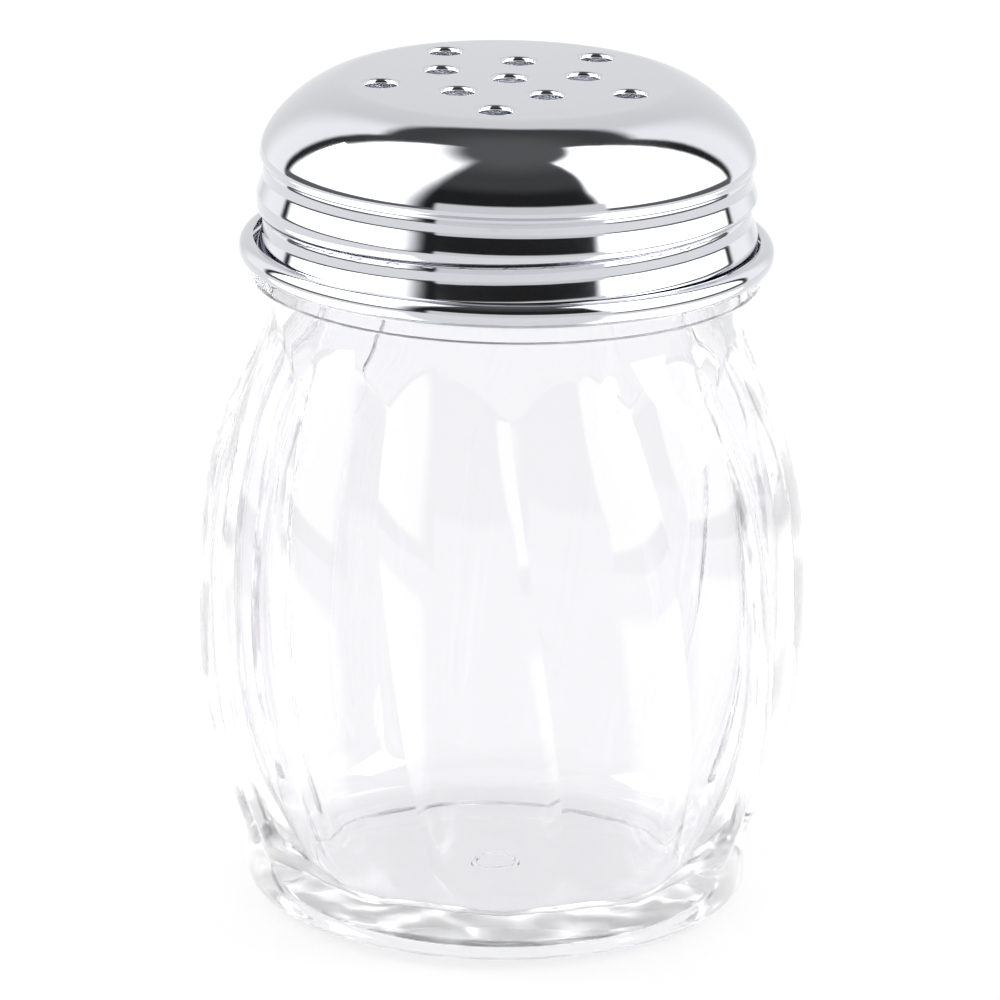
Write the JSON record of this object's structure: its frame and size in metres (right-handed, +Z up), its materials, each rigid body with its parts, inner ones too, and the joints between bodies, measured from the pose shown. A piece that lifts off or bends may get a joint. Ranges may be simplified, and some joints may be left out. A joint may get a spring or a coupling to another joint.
{
  "type": "spice shaker",
  "caption": "Table shaker for spices or grated cheese: clear swirl-fluted jar with a flat-topped perforated screw lid in chrome.",
  "frame": {"origin": "centre of the jar's underside, in the plane of its standing ring", "axes": "+Z up along the jar's axis; the front is -Y"},
  "size_m": [0.076, 0.076, 0.1052],
  "materials": {
    "clear_plastic": "clear, glossy, moulded smooth",
    "chrome_plate": "mirror-bright plating on drawn sheet"
  },
  "bodies": {
    "jar": {"jar": "clear_plastic"},
    "lid": {"perforated_lid": "chrome_plate"}
  },
  "joints": [
    {"name": "lid_lift", "type": "slide", "parent": "jar", "child": "lid", "axis": [0, 0, 1], "range_m": [0, 0.03]}
  ]
}
